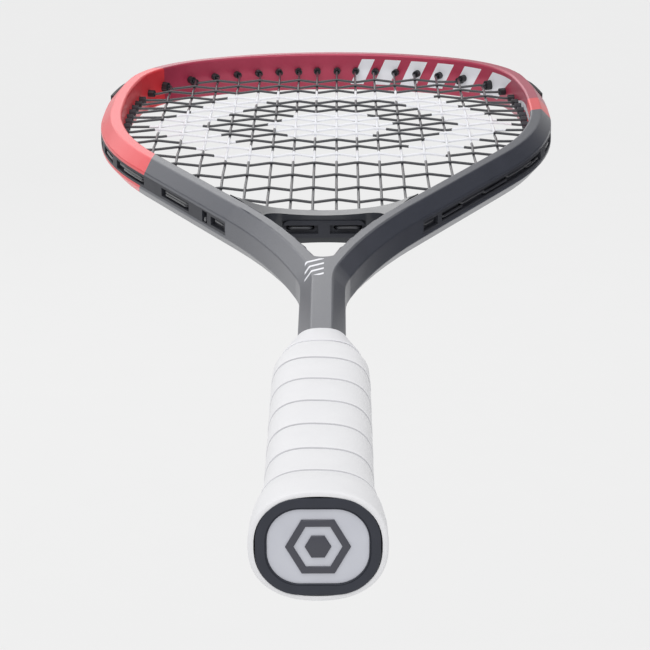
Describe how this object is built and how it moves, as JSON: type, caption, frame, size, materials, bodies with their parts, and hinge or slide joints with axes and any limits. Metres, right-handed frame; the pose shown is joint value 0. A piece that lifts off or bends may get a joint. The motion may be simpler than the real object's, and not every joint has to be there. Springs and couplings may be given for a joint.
{
  "type": "squash racket",
  "caption": "Strung squash racket: hollow graphite hoop with open throat, woven string bed, bumper guard and a wrapped, flared handle.",
  "frame": {"origin": "centre of the butt end face of the handle", "axes": "+Y along the handle to the tip of the hoop, +Z square to the string bed, +X to the right"},
  "size_m": [0.213, 0.685, 0.0338],
  "materials": {
    "frame_paint": "satin blue-grey lacquer over graphite laminate, coral and maroon zones on the hoop",
    "bridge_paint": "satin near-black lacquer over graphite laminate",
    "bumper_plastic": "matte nylon",
    "grommet_plastic": "matte nylon",
    "string": "glossy black coated multifilament nylon",
    "pallet_foam": "rigid moulded polyurethane foam",
    "cap_plastic": "matte moulded plastic",
    "staple_steel": "galvanised wire",
    "badge_plate": "satin light grey plastic",
    "badge_emblem": "matte dark plastic",
    "grip_wrap": "soft white polyurethane grip tape",
    "grip_tape": "white finishing tape"
  },
  "bodies": {
    "root": {"frame_tube": "frame_paint", "throat_bridge": "bridge_paint", "bumper_guard": "bumper_plastic", "left_grommet_strip": "grommet_plastic", "right_grommet_strip": "grommet_plastic", "bridge_grommet_strip": "grommet_plastic", "main_string": "string", "cross_string": "string", "main_string_knots": "string", "cross_string_knots": "string", "upper_handle_pallet": "pallet_foam", "lower_handle_pallet": "pallet_foam", "butt_cap": "cap_plastic", "butt_cap_staples": "staple_steel", "badge_plate": "badge_plate", "badge_emblem": "badge_emblem", "grip_wrap": "grip_wrap", "grip_finishing_tape": "grip_tape"}
  },
  "joints": []
}
